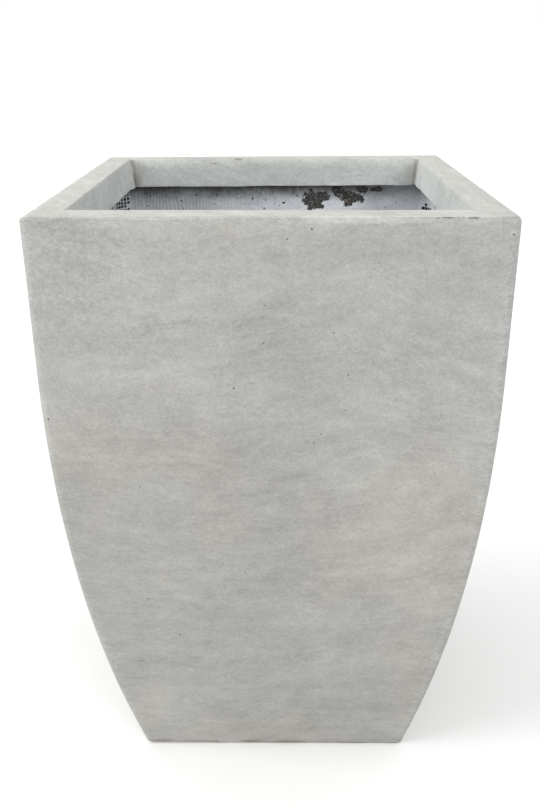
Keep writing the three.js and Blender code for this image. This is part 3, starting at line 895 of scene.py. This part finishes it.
def drainPlug():
    seat = floorTop + form["gap"]
    foot = form["footRecess"] + form["gap"]
    top = seat + plug["flangeHeight"]
    body, flange, knob = plug["bodyRadius"], plug["flangeRadius"], plug["knobRadius"]
    tall = top + plug["knobHeight"]
    outline = [(0.5 * mm, foot), (body - 2 * mm, foot)]
    outline += [(body - 1.2 * mm, foot + 0.3 * mm), (body - 0.8 * mm, foot + 1 * mm)]
    outline += [(body - 0.2 * mm, seat - 1 * mm), (body, seat - 0.3 * mm)]
    outline += [(body + 0.3 * mm, seat), (flange - 0.7 * mm, seat)]
    bead = np.radians(np.linspace(-80, 80, 9))
    middle = (seat + top) / 2
    outline += [(flange - 1.5 * mm + 1.5 * mm * math.cos(a), middle + 1.45 * mm * math.sin(a)) for a in bead]
    outline += [(flange - 4 * mm, top - 0.05 * mm), (flange - 4.6 * mm, top - 0.6 * mm)]
    outline += [(knob + 3 * mm, top - 0.6 * mm), (knob + 0.4 * mm, top)]
    outline += [(knob - 0.8 * mm, top + 1.2 * mm), (knob - 0.6 * mm, tall - 1.6 * mm)]
    outline += [(knob - 0.1 * mm, tall - 0.9 * mm), (knob - 0.5 * mm, tall - 0.2 * mm)]
    outline += [(knob - 1.3 * mm, tall), (0.5 * mm, tall)]
    radius, z = np.array(outline).T
    turn = np.linspace(0, 2 * np.pi, plug["steps"], endpoint=False)
    reach = radius[:, None]
    points = np.stack([reach * np.cos(turn), reach * np.sin(turn), z[:, None] + 0 * turn], -1)
    rows, columns = points.shape[:2]
    index = np.arange(rows * columns).reshape(rows, columns)
    east = np.roll(index, -1, 1)
    quads = np.stack([index[:-1], east[:-1], east[1:], index[1:]], -1).reshape(-1, 4)
    caps = np.stack([index[0, ::-1], index[-1]])
    piece = solid("drain_bung", points.reshape(-1, 3), [quads, caps], None, 35)
    return dress(piece, rubberFinish, "drain_plug", "rubber", "drain_plug")


# Rim filler: an eight-cornered section carried along one side of the rim, its ends cut to
# the mitre, and short of the skin's upright rounding at the outer corners.
def rimFiller(side, quarters, topWide):
    outer, inner = topHalf - sheetOuter, mouthHalf + sheetOuter
    top, bottom = height - sheetOuter, lipBottom + sheetOuter
    cut, foot = filler["edgeShare"] * topWide, filler["footCut"]
    corner = outer - filler["cornerCut"]
    section = [(corner, bottom), (outer, bottom), (outer, top), (corner, top)]
    section += [(inner + cut, top), (inner, top - cut), (inner, bottom + foot), (inner + foot, bottom)]
    deep, z = np.array(section).T
    reach = np.minimum(deep - form["gap"], outer - (form["cornerRadius"] - form["facing"]))
    points = turned(np.stack([np.stack([end * reach, -deep, z], -1) for end in (-1, 1)]), quarters)
    index = np.arange(2 * len(deep)).reshape(2, -1)
    east = np.roll(index, -1, 1)
    quads = np.stack([index[0], east[0], east[1], index[1]], -1)
    piece = solid(side + "_rim_filler", points.reshape(-1, 3), [quads, np.stack([index[0, ::-1], index[1]])])
    dress(piece, fillerFinish, "planter", "core", "rim_core_" + side)


facingSkin()
print("facing skin made")
for quarters, side in enumerate(wallSheets["sides"]):
    wallSheet(side, quarters)
floorPiece()
print("wall and floor sheets made")
for quarters, corner in enumerate(strip["corners"]):
    cornerStrip(corner, quarters)
print("corner meshes made")
drainPlug()
for quarters, side in enumerate(wallSheets["sides"]):
    rimFiller(side, quarters, skin["topWide"][(quarters + 3) % 4])
print("plug and rim fillers made")


# Camera, from the fit to the photograph. Its axes are turned about the vertical, then down,
# then about the line of sight.
shot = {
    "place": (9.8 * mm, -902.5 * mm, 729.0 * mm),
    "tiltDown": 0.3948,
    "yaw": -0.0152,
    "roll": -0.0081,
    "lens": 38.71,
}


def addCamera():
    c, s = math.cos(shot["yaw"]), math.sin(shot["yaw"])
    ahead, right = np.array([s, c, 0]), np.array([c, -s, 0])
    c, s = math.cos(shot["tiltDown"]), math.sin(shot["tiltDown"])
    up = ahead * s + np.array([0, 0, c])
    forward = ahead * c - np.array([0, 0, s])
    c, s = math.cos(shot["roll"]), math.sin(shot["roll"])
    right, up = right * c + up * s, up * c - right * s
    lens = bpy.data.cameras.new("camera")
    lens.lens = shot["lens"]
    lens.sensor_fit = "VERTICAL"
    lens.sensor_height = 36
    lens.clip_end = 50
    camera = bpy.data.objects.new("camera", lens)
    frameAxes = np.stack([right, up, -forward], 1)
    camera.matrix_world = Matrix([[*frameAxes[i], shot["place"][i]] for i in range(3)] + [[0, 0, 0, 1]])
    bpy.context.scene.collection.objects.link(camera)
    bpy.context.scene.camera = camera


# Light, floor and background.
light = {
    "sky": 1.116,
    "lamps": [  # name, where from, strength and width in degrees
        ("right_lamp", (0.5, -0.75, 0.42), 0.73, 35),
        ("left_lamp", (-0.9, -0.2, 0.35), 1.77, 35),
    ],
    "floorShown": 1.0,  # of the floor as the camera sees it
    "floorBounce": 0.45,  # of the floor as the planter sees it
    "floorReach": 30,
}


def addLights():
    world = bpy.data.worlds.new("studio")
    bpy.context.scene.world = world
    s = Shade("studio", world)
    dome = s.node("ShaderNodeBackground", {}, {"Strength": light["sky"]})
    plain = s.node("ShaderNodeBackground", {}, {"Color": [1.0] * 4})
    rays = [s.node("ShaderNodeLightPath", {}, {}, out) for out in ("Is Camera Ray", "Is Glossy Ray")]
    mixed = s.node("ShaderNodeMixShader", {}, {0: rays[0].most(rays[1]), 1: dome, 2: plain})
    s.node("ShaderNodeOutputWorld", {}, {"Surface": mixed})
    for name, source, strength, width in light["lamps"]:
        sun = bpy.data.lights.new(name, "SUN")
        sun.energy = strength
        sun.angle = math.radians(width)
        lamp = bpy.data.objects.new(name, sun)
        lamp.rotation_euler = Vector(source).to_track_quat("Z", "Y").to_euler()
        bpy.context.scene.collection.objects.link(lamp)


def addFloor():
    mesh = bpy.data.meshes.new("floor")
    reach = light["floorReach"]
    corners = [(-reach, -reach, 0), (reach, -reach, 0), (reach, reach, 0), (-reach, reach, 0)]
    mesh.from_pydata(corners, [], [(0, 1, 2, 3)])
    floor = bpy.data.objects.new("floor", mesh)
    bpy.context.scene.collection.objects.link(floor)
    s = Shade("pale floor")
    seen = s.node("ShaderNodeLightPath", {}, {}, "Is Camera Ray")
    lit = s.node("ShaderNodeBsdfDiffuse", {}, {"Color": [light["floorBounce"]] * 3 + [1]})
    shown = s.node("ShaderNodeBsdfDiffuse", {}, {"Color": [light["floorShown"]] * 3 + [1]})
    mixed = s.node("ShaderNodeMixShader", {}, {0: seen, 1: lit, 2: shown})
    s.node("ShaderNodeOutputMaterial", {}, {"Surface": mixed})
    mesh.materials.append(s.material)


addCamera()
addLights()
addFloor()
bpy.context.scene.view_settings.view_transform = "Standard"
print("camera, light and floor set")
